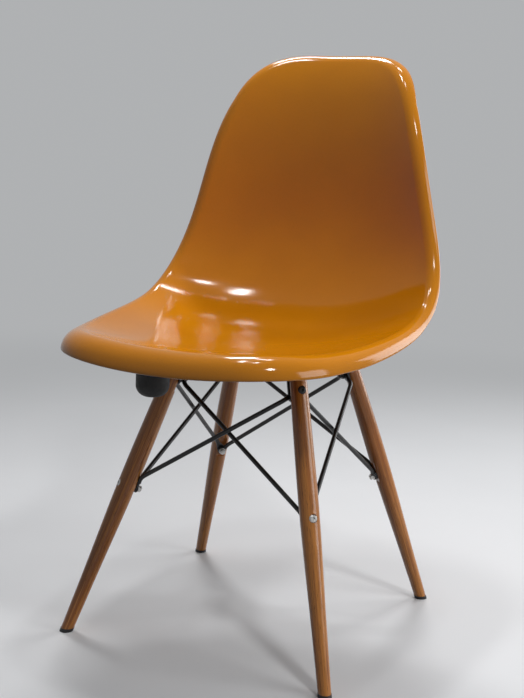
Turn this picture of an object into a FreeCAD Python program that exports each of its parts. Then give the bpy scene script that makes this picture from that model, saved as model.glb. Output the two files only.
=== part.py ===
"""Moulded shell chair on four turned wooden legs braced by crossing steel rods.

Millimetres, +Z up, the front of the seat towards -Y. The origin lies on the floor
under the middle of the chair's overall width and depth. The base is modelled about
its own centre first, and every piece is moved to the origin at the end.
"""
import FreeCAD, Part
import math
import os
from FreeCAD import Matrix, Vector

# Shell: upper side of the centre line, from the front edge to the top edge
SEAT_FRONT_Y = -281.6
SEAT_FRONT_Z = 433.7
CENTRE_LENGTH = 799.7
SLOPE_STATIONS = (0.0, 0.18, 0.36, 0.52, 0.70, 1.0)
SLOPE_ANGLES = (-16.1, -1.0, 3.5, 41.4, 87.0, 59.6)

# Shell: half width, and rise of the rim above the centre line, at five even stations
HALF_WIDTHS = (170.8, 199.1, 203.3, 172.6, 151.5)
RIM_RISES = (21.0, 27.9, 50.2, 54.2, 56.8)
RIM_POWER = 2.29
FRONT_CORNER_POWER = 4.64
TOP_CORNER_POWER = 3.28

# Shell: wall, and the lip that rolls over all round the rim
SHELL_WALL = 4.0
LIP_SWEEP = 100.0
LIP_STATIONS = (0.0, 0.12, 0.40, 0.90, 1.0)
LIP_RADII = (29.3, 21.4, 13.6, 13.6, 20.9)

# Legs: turned dowels, all four alike, splayed along the diagonals
FOOT_HALF_SPAN = 197.0
LEG_BOLT_HALF_SPAN = 96.5
LEG_FOOT_DIAMETER = 17.0
LEG_LOWER_DIAMETER = 21.5
LEG_LOWER_STATION = 0.27
LEG_BELLY_DIAMETER = 26.5
LEG_UPPER_DIAMETER = 25.5
LEG_UPPER_STATION = 0.80
LEG_TOP_DIAMETER = 23.0
LEG_ABOVE_BOLT = 26.0
LEG_TOP_ROUND = 2.5
TOP_FLAT_DEPTH = 3.0
MID_FLAT_DEPTH = 2.0
COUNTERBORE_DEPTH = 2.6
MID_BOLT_HEIGHT = 208.0
GLIDE_HEIGHT = 5.0
GLIDE_OVERHANG = 0.5
NAIL_DIAMETER = 2.5
NAIL_CLEARANCE = 0.1
NAIL_LENGTH = 18.0
NAIL_HEAD_DIAMETER = 8.0
NAIL_HEAD_HEIGHT = 1.0

# Seat mounts: rubber discs bonded under the shell, each with a threaded steel insert
FRONT_MOUNT_INSET = 28.0
MOUNT_DIAMETER = 48.0
MOUNT_HEIGHT = 19.0
MOUNT_EDGE_ROUND = 3.0
INSERT_DIAMETER = 12.0
INSERT_HEIGHT = 12.0
INSERT_FLANGE_DIAMETER = 24.0
INSERT_FLANGE_HEIGHT = 2.0

# Brackets: bent steel strip from each mount to its leg
BRACKET_WIDTH = 24.0
BRACKET_THICKNESS = 3.0
BRACKET_BEND_RADIUS = 3.0
BRACKET_TAIL = 12.0
BOLT_BELOW_EAR = 31.8
REAR_EAR_REACH = 16.7

# Brace rods: round wire with flattened, holed ends
ROD_DIAMETER = 6.3
TAB_DIAMETER = 13.0
TAB_THICKNESS = 2.5
OUTER_TAB_REACH = 22.0
INNER_TAB_REACH = 13.0

# Fasteners
BOLT_DIAMETER = 5.0
HOLE_CLEARANCE = 0.5
THREAD_CLEARANCE = 0.1
BOLT_HEAD_DIAMETER = 11.0
BOLT_HEAD_HEIGHT = 2.4
BOLT_HEAD_RIM = 1.4
BOLT_HEAD_CROWN = 7.0
SOCKET_ACROSS_FLATS = 4.0
SOCKET_DEPTH = 1.8
BOLT_END = 1.0
WASHER_DIAMETER = 11.0
WASHER_THICKNESS = 1.0
NUT_ACROSS_FLATS = 8.0
NUT_HEIGHT = 4.0
SCREW_ACROSS_FLATS = 8.0
SCREW_HEAD_HEIGHT = 3.5
SCREW_DEPTH = 9.0

# Rubber bumper under the front left of the seat
BUMPER_X = -97.0
BUMPER_Y = -150.0
BUMPER_DIAMETER = 46.0
BUMPER_HEIGHT = 75.0
BUMPER_ROUND = 16.0

# Fineness of the shell's and the legs' surfaces
LINE_STEPS = 800
SIDE_POINTS = 13
RING_POINTS = 7
LIP_POINTS = 7
EDGE_POINTS = 5
LEG_POINTS = 9
CORE_SHARE = 0.5
SMALL_STEP = 0.2
SMALL_TURN = 1e-4
SEARCH_STEPS = 50
TOUCH = 1e-3

X_AXIS = Vector(1, 0, 0)
Z_AXIS = Vector(0, 0, 1)
CORNERS = {
    "front_left": (-1, -1),
    "front_right": (1, -1),
    "rear_right": (1, 1),
    "rear_left": (-1, 1),
}
CORNER_ORDER = list(CORNERS)


def natural_spline(stations, values):
    """Return a function that runs smoothly through the values at the stations."""
    count = len(stations)
    gaps = [stations[i + 1] - stations[i] for i in range(count - 1)]
    slopes = [(values[i + 1] - values[i]) / gaps[i] for i in range(count - 1)]
    upper = [0.0] * count
    bends = [0.0] * count
    for i in range(1, count - 1):
        pivot = 2 * (gaps[i - 1] + gaps[i]) - gaps[i - 1] * upper[i - 1]
        upper[i] = gaps[i] / pivot
        bends[i] = (6 * (slopes[i] - slopes[i - 1]) - gaps[i - 1] * bends[i - 1]) / pivot
    for i in range(count - 2, 0, -1):
        bends[i] -= upper[i] * bends[i + 1]

    def value(t):
        i = 0
        while i < count - 2 and t > stations[i + 1]:
            i += 1
        gap = gaps[i]
        a = (stations[i + 1] - t) / gap
        b = 1 - a
        curve = (a ** 3 - a) * bends[i] + (b ** 3 - b) * bends[i + 1]
        return a * values[i] + b * values[i + 1] + curve * gap * gap / 6

    return value


def straight_law(stations, values):
    """Return a function that runs in straight stretches through the values."""
    def value(t):
        i = 0
        while i < len(stations) - 2 and t > stations[i + 1]:
            i += 1
        share = (t - stations[i]) / (stations[i + 1] - stations[i])
        return values[i] + share * (values[i + 1] - values[i])

    return value


def even_stations(count):
    return [i / (count - 1) for i in range(count)]


slope_law = natural_spline(SLOPE_STATIONS, SLOPE_ANGLES)
width_law = natural_spline(even_stations(len(HALF_WIDTHS)), HALF_WIDTHS)
rise_law = natural_spline(even_stations(len(RIM_RISES)), RIM_RISES)
lip_law = straight_law(LIP_STATIONS, LIP_RADII)


def blend(first, second, share):
    """Pair of numbers between two pairs."""
    return tuple(first[i] * (1 - share) + second[i] * share for i in (0, 1))


def centre_line():
    """Points of the centre line, stepped along its slope from the front edge."""
    step = CENTRE_LENGTH / LINE_STEPS
    y, z = SEAT_FRONT_Y, SEAT_FRONT_Z
    points = [(y, z)]
    for i in range(LINE_STEPS):
        angle = math.radians(slope_law((i + 0.5) / LINE_STEPS))
        y += step * math.cos(angle)
        z += step * math.sin(angle)
        points.append((y, z))
    return points


CENTRE_POINTS = centre_line()


def dish_point(across, along):
    """Point of the shell's upper side: across from the centre line, along it from the front."""
    station = min(max(along / CENTRE_LENGTH, 0.0), 1.0)
    place = station * LINE_STEPS
    i = min(int(place), LINE_STEPS - 1)
    share = place - i
    y, z = blend(CENTRE_POINTS[i], CENTRE_POINTS[i + 1], share)
    slope = math.radians(slope_law(station))
    rise = rise_law(station) * abs(across / width_law(station)) ** RIM_POWER
    return Vector(across, y - math.sin(slope) * rise, z + math.cos(slope) * rise)


def dish_normal(across, along):
    """Unit normal of the upper side, towards the sitter."""
    low = max(along - SMALL_STEP, 0.0)
    high = min(along + SMALL_STEP, CENTRE_LENGTH)
    forward = dish_point(across, high) - dish_point(across, low)
    sideways = dish_point(across + SMALL_STEP, along) - dish_point(across - SMALL_STEP, along)
    return sideways.cross(forward).normalize()


def outline(angle):
    """Place (across, along) on the outline of the dish, where the lip begins."""
    power = FRONT_CORNER_POWER if math.sin(angle) < 0 else TOP_CORNER_POWER
    size = abs(math.cos(angle)) ** power + abs(math.sin(angle)) ** power
    radius = size ** (-1 / power)
    station = 0.5 * (1 + radius * math.sin(angle))
    return width_law(station) * radius * math.cos(angle), station * CENTRE_LENGTH


def side_angle(side, share):
    """Angle about the outline, a share of the way along one of its four sides."""
    return math.pi / 4 + math.pi / 2 * (side + share)


def core_corner(side):
    """Corner of the four-sided middle field at which a side starts."""
    centre = (0.0, CENTRE_LENGTH / 2)
    return blend(centre, outline(side_angle(side, 0)), CORE_SHARE)


def core_places():
    """Grid of places of the middle field."""
    shares = even_stations(SIDE_POINTS)
    grid = []
    for share in shares:
        left = blend(core_corner(2), core_corner(1), share)
        right = blend(core_corner(3), core_corner(0), share)
        grid.append([blend(left, right, across) for across in shares])
    return grid


def ring_places(side):
    """Grid of places between one side of the middle field and the outline."""
    grid = []
    for share in even_stations(SIDE_POINTS):
        inner = blend(core_corner(side), core_corner(side + 1), share)
        outer = outline(side_angle(side, share))
        grid.append([blend(inner, outer, reach) for reach in even_stations(RING_POINTS)])
    return grid


def skin(places, depth):
    """Points of the upper side sunk by a depth, for a grid of places."""
    rows = []
    for row in places:
        rows.append([dish_point(*place) - dish_normal(*place) * depth for place in row])
    return rows


def rim_frame(angle):
    """Start of the lip: its point, the upper side's normal, the way out and the radius."""
    place = outline(angle)
    ahead = dish_point(*outline(angle + SMALL_TURN))
    behind = dish_point(*outline(angle - SMALL_TURN))
    normal = dish_normal(*place)
    outward = (ahead - behind).cross(normal).normalize()
    radius = lip_law(place[1] / CENTRE_LENGTH)
    return dish_point(*place), normal, outward, radius


def lip_section(angle, depth):
    """Points of the lip's arc at one place on the rim, sunk by a depth."""
    start, normal, outward, radius = rim_frame(angle)
    middle = start - normal * radius
    points = []
    for share in even_stations(LIP_POINTS):
        turn = math.radians(LIP_SWEEP) * share
        away = outward * math.sin(turn) + normal * math.cos(turn)
        points.append(middle + away * (radius - depth))
    return points


def edge_section(angle):
    """Points of the rounded edge that closes the lip at one place on the rim."""
    start, normal, outward, radius = rim_frame(angle)
    turn = math.radians(LIP_SWEEP)
    away = outward * math.sin(turn) + normal * math.cos(turn)
    onward = outward * math.cos(turn) - normal * math.sin(turn)
    middle = start - normal * radius + away * (radius - SHELL_WALL / 2)
    points = []
    for share in even_stations(EDGE_POINTS):
        bow = math.pi * share
        points.append(middle + (away * math.cos(bow) + onward * math.sin(bow)) * (SHELL_WALL / 2))
    return points


def rim_grid(side, section):
    """Grid of the sections along one side of the outline."""
    return [section(side_angle(side, share)) for share in even_stations(SIDE_POINTS)]


def spline_face(grid):
    """Smooth face through a grid of points, whose sides depend only on their own points."""
    def run_through(points):
        curve = Part.BSplineCurve()
        curve.interpolate(Points=points, Parameters=even_stations(len(points)))
        return curve.getPoles()

    columns = [run_through([row[j] for row in grid]) for j in range(len(grid[0]))]
    poles = [run_through([column[i] for column in columns]) for i in range(len(columns[0]))]
    across, along = len(grid), len(grid[0])
    surface = Part.BSplineSurface()
    surface.buildFromPolesMultsKnots(
        poles,
        [4] + [1] * (across - 2) + [4],
        [4] + [1] * (along - 2) + [4],
        even_stations(across),
        even_stations(along),
        False, False, 3, 3)
    return surface.toShape()


def closed_solid(faces):
    """Solid inside faces that meet along equal sides."""
    shell = Part.makeShell(faces)
    shell.sewShape()
    solid = Part.Solid(shell)
    if solid.Volume < 0:
        solid.reverse()
    return solid


def make_shell():
    """Seat and back: upper side, underside, rolled lip and rounded edge."""
    faces = []
    for depth in (0.0, SHELL_WALL):
        faces.append(spline_face(skin(core_places(), depth)))
        for side in range(4):
            faces.append(spline_face(skin(ring_places(side), depth)))
            faces.append(spline_face(rim_grid(side, lambda angle: lip_section(angle, depth))))
    for side in range(4):
        faces.append(spline_face(rim_grid(side, edge_section)))
    return closed_solid(faces)


def underside_at(x, y):
    """Point of the shell's underside straight above a place of the base, within the seat."""
    low, high = 0.0, CENTRE_LENGTH
    for _ in range(SEARCH_STEPS):
        middle = (low + high) / 2
        point = dish_point(x, middle) - dish_normal(x, middle) * SHELL_WALL
        if point.y < y:
            low = middle
        else:
            high = middle
    return point


def disc(diameter, height, start, axis):
    """Round disc or bar of a diameter, from its start along an axis."""
    return Part.makeCylinder(diameter / 2, height, start, axis)


def turned_to(shape, start, axis):
    """Shape made standing on the XY plane, moved to a start and turned along an axis."""
    shape.Placement = FreeCAD.Placement(start, FreeCAD.Rotation(Z_AXIS, axis))
    return shape


def hexagon(across_flats, height, start, axis):
    """Hexagonal bar of a width across its flats, from its start along an axis."""
    reach = across_flats / math.sqrt(3)
    turns = [math.radians(60 * i) for i in range(7)]
    points = [Vector(reach * math.cos(turn), reach * math.sin(turn), 0) for turn in turns]
    return turned_to(Part.Face(Part.makePolygon(points)).extrude(Z_AXIS * height), start, axis)


def lowest_solid(shape):
    """The lowest of the solids that a cut leaves."""
    return min(shape.Solids, key=lambda solid: solid.CenterOfMass.z)


def frame_at(origin, out, up):
    """Placement whose X axis points out and whose Z axis points up, at an origin."""
    side = up.cross(out)
    return FreeCAD.Placement(Matrix(out.x, side.x, up.x, origin.x,
                                    out.y, side.y, up.y, origin.y,
                                    out.z, side.z, up.z, origin.z,
                                    0, 0, 0, 1))


def placed(shape, frame):
    """Copy of a shape made in a frame's own axes, put in its place."""
    copy = shape.copy()
    copy.Placement = frame.multiply(copy.Placement)
    return copy


def outward_direction(corner):
    """Unit vector from the base's centre along a corner's diagonal."""
    sx, sy = CORNERS[corner]
    return Vector(sx, sy, 0).normalize()


class Mount:
    """Where a corner's mount sits, in the upright plane along that corner's diagonal.

    The frame's origin is the middle of the mount's lower face, its X axis runs outward
    along the bracket's ear, and its Z axis up through the mount.
    """

    def __init__(self, corner, span):
        sx, sy = CORNERS[corner]
        outward = outward_direction(corner)
        inside, outside = span - SMALL_STEP, span + SMALL_STEP
        climb = underside_at(sx * outside, sy * outside) - underside_at(sx * inside, sy * inside)
        self.slope = math.atan2(climb.z, climb.dot(outward))
        self.along = outward * math.cos(self.slope) + Z_AXIS * math.sin(self.slope)
        self.axis = Z_AXIS * math.cos(self.slope) - outward * math.sin(self.slope)
        contact = underside_at(sx * span, sy * span)
        self.base = (outward * contact.dot(outward) + Z_AXIS * contact.z
                     - self.axis * MOUNT_HEIGHT)
        self.frame = frame_at(self.base, self.along, self.axis)


def diagonal(half_span):
    """Distance from the centre to the corner of a square with a half side."""
    return half_span * math.sqrt(2)


def top_bolt_height(mount, corner):
    """Height of the top bolts, a set drop below the plane of the front ears."""
    run = diagonal(LEG_BOLT_HALF_SPAN) - mount.base.dot(outward_direction(corner))
    return mount.base.z + run * math.tan(mount.slope) - BOLT_BELOW_EAR


MOUNTS = {corner: Mount(corner, LEG_BOLT_HALF_SPAN - FRONT_MOUNT_INSET)
          for corner, (sx, sy) in CORNERS.items() if sy < 0}
TOP_BOLT_HEIGHT = top_bolt_height(MOUNTS["front_left"], "front_left")
LEG_LEAN = math.atan2(diagonal(FOOT_HALF_SPAN - LEG_BOLT_HALF_SPAN), TOP_BOLT_HEIGHT)
TOP_BOLT_STATION = TOP_BOLT_HEIGHT / math.cos(LEG_LEAN)
MID_BOLT_STATION = MID_BOLT_HEIGHT / math.cos(LEG_LEAN)
LEG_LENGTH = TOP_BOLT_STATION + LEG_ABOVE_BOLT


def leg_frame(corner):
    """Placement of a leg: X outward across it, Z up along it, the origin on the floor."""
    outward = outward_direction(corner)
    out = outward * math.cos(LEG_LEAN) + Z_AXIS * math.sin(LEG_LEAN)
    up = Z_AXIS * math.cos(LEG_LEAN) - outward * math.sin(LEG_LEAN)
    return frame_at(outward * diagonal(FOOT_HALF_SPAN), out, up)


LEGS = {corner: leg_frame(corner) for corner in CORNERS}


def leg_profile():
    """Law of the turned leg's radius, from its foot to its top."""
    stations = (0.0, LEG_LOWER_STATION, MID_BOLT_STATION / LEG_LENGTH, LEG_UPPER_STATION, 1.0)
    diameters = (LEG_FOOT_DIAMETER, LEG_LOWER_DIAMETER, LEG_BELLY_DIAMETER,
                 LEG_UPPER_DIAMETER, LEG_TOP_DIAMETER)
    return natural_spline(stations, [diameter / 2 for diameter in diameters])


leg_radius_law = leg_profile()


class BoltPlace:
    """One row of leg bolts: its station up the leg, and what each bolt clamps.

    Depths are counted inwards from the leg's middle to where each layer ends. The
    head's seat is as far outwards from it.
    """

    def __init__(self, station, flat_depth, strip_thickness):
        radius = leg_radius_law(station / LEG_LENGTH)
        self.station = station
        self.seat = radius - COUNTERBORE_DEPTH
        self.flat = radius - flat_depth
        self.strip_end = self.flat + strip_thickness
        self.outer_tab_end = self.strip_end + TAB_THICKNESS
        self.inner_tab_end = self.outer_tab_end + TAB_THICKNESS
        self.washer_end = self.inner_tab_end + WASHER_THICKNESS
        self.nut_end = self.washer_end + NUT_HEIGHT


TOP_BOLTS = BoltPlace(TOP_BOLT_STATION, TOP_FLAT_DEPTH, BRACKET_THICKNESS)
MID_BOLTS = BoltPlace(MID_BOLT_STATION, MID_FLAT_DEPTH, 0.0)
HOLE_DIAMETER = BOLT_DIAMETER + HOLE_CLEARANCE
THREAD_DIAMETER = BOLT_DIAMETER + THREAD_CLEARANCE


def line_crossing(start, run, other_start, other_run):
    """Crossing of two lines in space that lie in one plane."""
    normal = run.cross(other_run)
    share = (other_start - start).cross(other_run).dot(normal) / normal.dot(normal)
    return start + run * share


def ear_reach(mount, leg):
    """How far along an ear from its mount's axis the bracket bends down to the leg."""
    tail = leg.multVec(Vector(-TOP_BOLTS.flat, 0, TOP_BOLT_STATION))
    bend = line_crossing(mount.base, mount.along, tail, leg.Rotation.multVec(Z_AXIS))
    return (bend - mount.base).dot(mount.along)


def rear_mount(corner):
    """Mount at the span at which the rear bracket's ear has its set reach."""
    low, high = 0.0, LEG_BOLT_HALF_SPAN
    for _ in range(SEARCH_STEPS):
        span = (low + high) / 2
        mount = Mount(corner, span)
        if ear_reach(mount, LEGS[corner]) > REAR_EAR_REACH:
            low = span
        else:
            high = span
    return mount


MOUNTS.update({corner: rear_mount(corner) for corner, (sx, sy) in CORNERS.items() if sy > 0})


def turned_leg():
    """Leg as it leaves the lathe, in its own axes."""
    stations = even_stations(LEG_POINTS)
    points = [Vector(leg_radius_law(s), 0, s * LEG_LENGTH) for s in stations]
    curve = Part.BSplineCurve()
    curve.interpolate(Points=points, Parameters=stations)
    foot, top = Vector(0, 0, 0), Z_AXIS * LEG_LENGTH
    outline_wire = Part.Wire([
        Part.makeLine(foot, points[0]),
        curve.toShape(),
        Part.makeLine(points[-1], top),
        Part.makeLine(top, foot)])
    leg = Part.Face(outline_wire).revolve(foot, Z_AXIS, 360)
    rims = [edge for edge in leg.Edges
            if edge.BoundBox.ZMin > LEG_LENGTH - TOUCH and edge.BoundBox.XLength > LEG_TOP_ROUND]
    return leg.makeFillet(LEG_TOP_ROUND, rims)


def bolt_cuts(place, flat_below, flat_above):
    """What a bolt takes out of a leg: its hole, a counterbore outside and a flat inside."""
    inner = Vector(-2 * place.flat, 0, place.station)
    hole = disc(HOLE_DIAMETER, 4 * place.flat, inner, X_AXIS)
    seat = Vector(place.seat, 0, place.station)
    counterbore = disc(BOLT_HEAD_DIAMETER + HOLE_CLEARANCE, place.seat, seat, X_AXIS)
    flat = Part.makeBox(place.flat, 4 * place.flat, flat_below + flat_above,
                        inner - Vector(0, 2 * place.flat, flat_below))
    return [hole, counterbore, flat]


def make_leg(corner):
    """Turned leg with flats and holes for its bolts, cut level above its glide."""
    leg = turned_leg().cut(bolt_cuts(TOP_BOLTS, OUTER_TAB_REACH, LEG_ABOVE_BOLT)
                           + bolt_cuts(MID_BOLTS, TAB_DIAMETER, OUTER_TAB_REACH))
    size = 4 * FOOT_HALF_SPAN
    below = Part.makeBox(size, size, size, Vector(-size / 2, -size / 2, GLIDE_HEIGHT - size))
    return placed(leg, LEGS[corner]).cut([below, glide_nail(corner, NAIL_CLEARANCE)])


def glide_nail(corner, clearance):
    """Nail that holds a glide: its head inside the glide, its shank up into the leg."""
    start = Z_AXIS * (GLIDE_HEIGHT / 2)
    head = disc(NAIL_HEAD_DIAMETER, NAIL_HEAD_HEIGHT, start, Z_AXIS)
    shank = disc(NAIL_DIAMETER + clearance, NAIL_LENGTH + clearance, start, Z_AXIS)
    return placed(head.fuse(shank), LEGS[corner])


def make_glide(corner):
    """Low glide under a leg's level end, its floor edge bevelled."""
    start = Z_AXIS * (-2 * GLIDE_HEIGHT)
    bar = disc(LEG_FOOT_DIAMETER + 2 * GLIDE_OVERHANG, 5 * GLIDE_HEIGHT, start, Z_AXIS)
    size = 4 * FOOT_HALF_SPAN
    slab = Part.makeBox(size, size, GLIDE_HEIGHT, Vector(-size / 2, -size / 2, 0))
    glide = placed(bar, LEGS[corner]).common(slab)
    floor_edges = [edge for edge in glide.Edges if edge.BoundBox.ZMax < TOUCH]
    glide = glide.makeChamfer(GLIDE_OVERHANG, floor_edges)
    return glide.cut(glide_nail(corner, 0.0))


def bolt_head(start, axis):
    """Low domed head with a hexagon socket."""
    rim, crown = BOLT_HEAD_DIAMETER / 2, BOLT_HEAD_CROWN / 2
    rise = BOLT_HEAD_HEIGHT - BOLT_HEAD_RIM
    drop = (rim ** 2 - crown ** 2 - rise ** 2) / (2 * rise)
    dome = Part.makeSphere(math.hypot(rim, drop), Z_AXIS * (BOLT_HEAD_RIM - drop))
    head = disc(BOLT_HEAD_DIAMETER, BOLT_HEAD_HEIGHT, Vector(0, 0, 0), Z_AXIS).common(dome)
    floor = Z_AXIS * (BOLT_HEAD_HEIGHT - SOCKET_DEPTH)
    head = head.cut(hexagon(SOCKET_ACROSS_FLATS, SOCKET_DEPTH, floor, Z_AXIS))
    return turned_to(head, start, axis)


def on_every_leg(shape):
    """The same piece on all four legs, as one group of solids."""
    return Part.makeCompound([placed(shape, frame) for frame in LEGS.values()])


def make_bolt(place):
    """Bolt through a leg, its head outside."""
    end = Vector(-place.nut_end - BOLT_END, 0, place.station)
    shank = disc(BOLT_DIAMETER, place.seat - end.x, end, X_AXIS)
    return shank.fuse(bolt_head(Vector(place.seat, 0, place.station), X_AXIS))


def make_washer(start, axis):
    """Plain washer from its start along an axis."""
    blank = disc(WASHER_DIAMETER, WASHER_THICKNESS, start, axis)
    return blank.cut(disc(HOLE_DIAMETER, WASHER_THICKNESS, start, axis))


def make_nut(place):
    """Nut on the inner end of a leg's bolt."""
    start = Vector(-place.nut_end, 0, place.station)
    return hexagon(NUT_ACROSS_FLATS, NUT_HEIGHT, start, X_AXIS).cut(
        disc(THREAD_DIAMETER, NUT_HEIGHT, start, X_AXIS))


def rounded_bend(strip, bend, radius):
    """Strip with the edge at one bend rounded."""
    edges = [edge for edge in strip.Edges if (edge.CenterOfMass - bend).Length < TOUCH]
    return strip.makeFillet(radius, edges)


def round_ended(frame, end, out, up):
    """Bar of the bracket's width and a round end, for trimming a bracket's end to shape.

    In the frame, the bar runs along up from a half circle about the end, and reaches
    well past the bracket both ways along out.
    """
    size = 10 * BRACKET_WIDTH
    side = up.cross(out)
    half_circle = disc(BRACKET_WIDTH, 2 * size, end - out * size, out)
    corner = end - out * size - side * (BRACKET_WIDTH / 2)
    sides = [corner, corner + side * BRACKET_WIDTH]
    sides = [sides[0], sides[1], sides[1] + up * size, sides[0] + up * size, sides[0]]
    bar = Part.Face(Part.makePolygon(sides)).extrude(out * (2 * size))
    return placed(half_circle.fuse(bar), frame)


def make_bracket(corner):
    """Bent strip: an ear under the mount, and a tail bolted to the leg's inner side."""
    mount, leg = MOUNTS[corner], LEGS[corner]
    half = BRACKET_WIDTH / 2
    side = mount.axis.cross(mount.along)
    tail_bottom = TOP_BOLT_STATION - BRACKET_TAIL

    def ear_place(run, depth):
        return mount.frame.multVec(Vector(run, 0, -depth))

    def tail_place(station, depth):
        return leg.multVec(Vector(-depth, 0, station))

    tail_run = tail_place(TOP_BOLT_STATION, 0) - tail_place(tail_bottom, 0)
    bends, ends = [], []
    for ear_depth, tail_depth in ((0.0, TOP_BOLTS.flat), (BRACKET_THICKNESS, TOP_BOLTS.strip_end)):
        ear_end, tail_end = ear_place(-half, ear_depth), tail_place(tail_bottom, tail_depth)
        bends.append(line_crossing(ear_end, mount.along, tail_end, tail_run))
        ends.append((ear_end, tail_end))
    corners = [ends[0][0], bends[0], ends[0][1], ends[1][1], bends[1], ends[1][0]]
    corners = [place - side * half for place in corners]
    strip = Part.Face(Part.makePolygon(corners + corners[:1])).extrude(side * BRACKET_WIDTH)
    strip = rounded_bend(strip, bends[0], BRACKET_BEND_RADIUS + BRACKET_THICKNESS)
    strip = rounded_bend(strip, bends[1], BRACKET_BEND_RADIUS)
    strip = strip.common(round_ended(mount.frame, Vector(0, 0, 0), Z_AXIS, X_AXIS))
    strip = strip.common(round_ended(leg, Z_AXIS * (tail_bottom + half), X_AXIS, Z_AXIS))
    ear_hole = disc(HOLE_DIAMETER, 4 * BRACKET_THICKNESS, ear_place(0, 2 * BRACKET_THICKNESS), mount.axis)
    tail_hole = disc(HOLE_DIAMETER, 2 * TOP_BOLTS.flat,
                     Vector(-2 * TOP_BOLTS.flat, 0, TOP_BOLT_STATION), X_AXIS)
    return strip.cut([ear_hole, placed(tail_hole, leg)])


def rubber_blank(diameter, edge_round, start, axis):
    """Rubber disc from its free face up through the shell's wall, its free edge rounded."""
    blank = disc(diameter, 2 * diameter, start, axis)
    edges = [edge for edge in blank.Edges
             if edge.Length > 2 * diameter and (edge.CenterOfMass - start).Length < TOUCH]
    return blank.makeFillet(edge_round, edges)


def insert_body():
    """Outside of a mount's insert: a sleeve with a flange at its inner end."""
    sleeve = disc(INSERT_DIAMETER, INSERT_HEIGHT, Vector(0, 0, 0), Z_AXIS)
    start = Z_AXIS * (INSERT_HEIGHT - INSERT_FLANGE_HEIGHT)
    return sleeve.fuse(disc(INSERT_FLANGE_DIAMETER, INSERT_FLANGE_HEIGHT, start, Z_AXIS))


def make_mount(corner, shell):
    """Rubber disc bonded to the underside, hollow for its insert."""
    mount = MOUNTS[corner]
    blank = rubber_blank(MOUNT_DIAMETER, MOUNT_EDGE_ROUND, mount.base, mount.axis)
    return lowest_solid(blank.cut(shell)).cut(placed(insert_body(), mount.frame))


def on_every_mount(shape):
    """The same piece at all four mounts, as one group of solids."""
    return Part.makeCompound([placed(shape, mount.frame) for mount in MOUNTS.values()])


def make_insert():
    """Threaded steel insert, open downwards."""
    return insert_body().cut(disc(THREAD_DIAMETER, SCREW_DEPTH, Vector(0, 0, 0), Z_AXIS))


def make_mount_screw():
    """Screw up through an ear into an insert, its head against the washer."""
    start = Z_AXIS * (-BRACKET_THICKNESS - WASHER_THICKNESS)
    shank = disc(BOLT_DIAMETER, SCREW_DEPTH - HOLE_CLEARANCE - start.z, start, Z_AXIS)
    return shank.fuse(hexagon(SCREW_ACROSS_FLATS, SCREW_HEAD_HEIGHT, start, Z_AXIS * -1))


def rod_tab(middle, out, towards, reach):
    """Flat round eye about a bolt, with a tongue that narrows to the wire's width."""
    side = out.cross(towards)
    eye, wire = TAB_DIAMETER / 2, ROD_DIAMETER / 2
    tilt = math.acos((eye - wire) / reach)
    start = middle - out * (TAB_THICKNESS / 2)
    corners = []
    for sign in (1, -1):
        normal = towards * math.cos(tilt) + side * (sign * math.sin(tilt))
        corners.append((start + normal * eye, start + towards * reach + normal * wire))
    corners = [corners[0][0], corners[0][1], corners[1][1], corners[1][0], corners[0][0]]
    tongue = Part.Face(Part.makePolygon(corners)).extrude(out * TAB_THICKNESS)
    return disc(TAB_DIAMETER, TAB_THICKNESS, start, out).fuse(tongue)


def make_rod(corner, neighbour, outer):
    """Brace rod from a leg's middle to its neighbour's top: a wire between two flat eyes.

    The eyes of an inner rod are flattened to the side of its wire that faces the leg, so
    that it passes clear of the outer rod that it crosses.
    """
    reach = OUTER_TAB_REACH if outer else INNER_TAB_REACH
    offset = 0.0 if outer else (ROD_DIAMETER - TAB_THICKNESS) / 2
    middles, outs = [], []
    for frame, place in ((LEGS[corner], MID_BOLTS), (LEGS[neighbour], TOP_BOLTS)):
        depth = (place.outer_tab_end if outer else place.inner_tab_end) - TAB_THICKNESS / 2
        middles.append(frame.multVec(Vector(-depth, 0, place.station)))
        outs.append(frame.Rotation.multVec(X_AXIS))
    solids, holes, joints = [], [], []
    for middle, target, out in zip(middles, reversed(middles), outs):
        towards = target - middle
        towards = (towards - out * towards.dot(out)).normalize()
        joints.append(middle + towards * reach - out * offset)
        solids.append(rod_tab(middle, out, towards, reach))
        solids.append(Part.makeSphere(ROD_DIAMETER / 2, joints[-1]))
        holes.append(disc(HOLE_DIAMETER, 2 * TAB_THICKNESS, middle - out * TAB_THICKNESS, out))
    run = joints[1] - joints[0]
    wire = disc(ROD_DIAMETER, run.Length, joints[0], run)
    return wire.fuse(solids).cut(holes)


def make_rods():
    """Two rods up from each leg's middle, one to each neighbouring leg's top."""
    rods = {}
    for index, corner in enumerate(CORNER_ORDER):
        for step, outer in ((1, True), (-1, False)):
            neighbour = CORNER_ORDER[(index + step) % len(CORNER_ORDER)]
            rods["brace_rod_" + corner + "_to_" + neighbour] = make_rod(corner, neighbour, outer)
    return rods


def make_bumper(shell):
    """Round-bottomed rubber bumper bonded under the front left of the seat."""
    start = Vector(BUMPER_X, BUMPER_Y, underside_at(BUMPER_X, BUMPER_Y).z - BUMPER_HEIGHT)
    return lowest_solid(rubber_blank(BUMPER_DIAMETER, BUMPER_ROUND, start, Z_AXIS).cut(shell))


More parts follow.
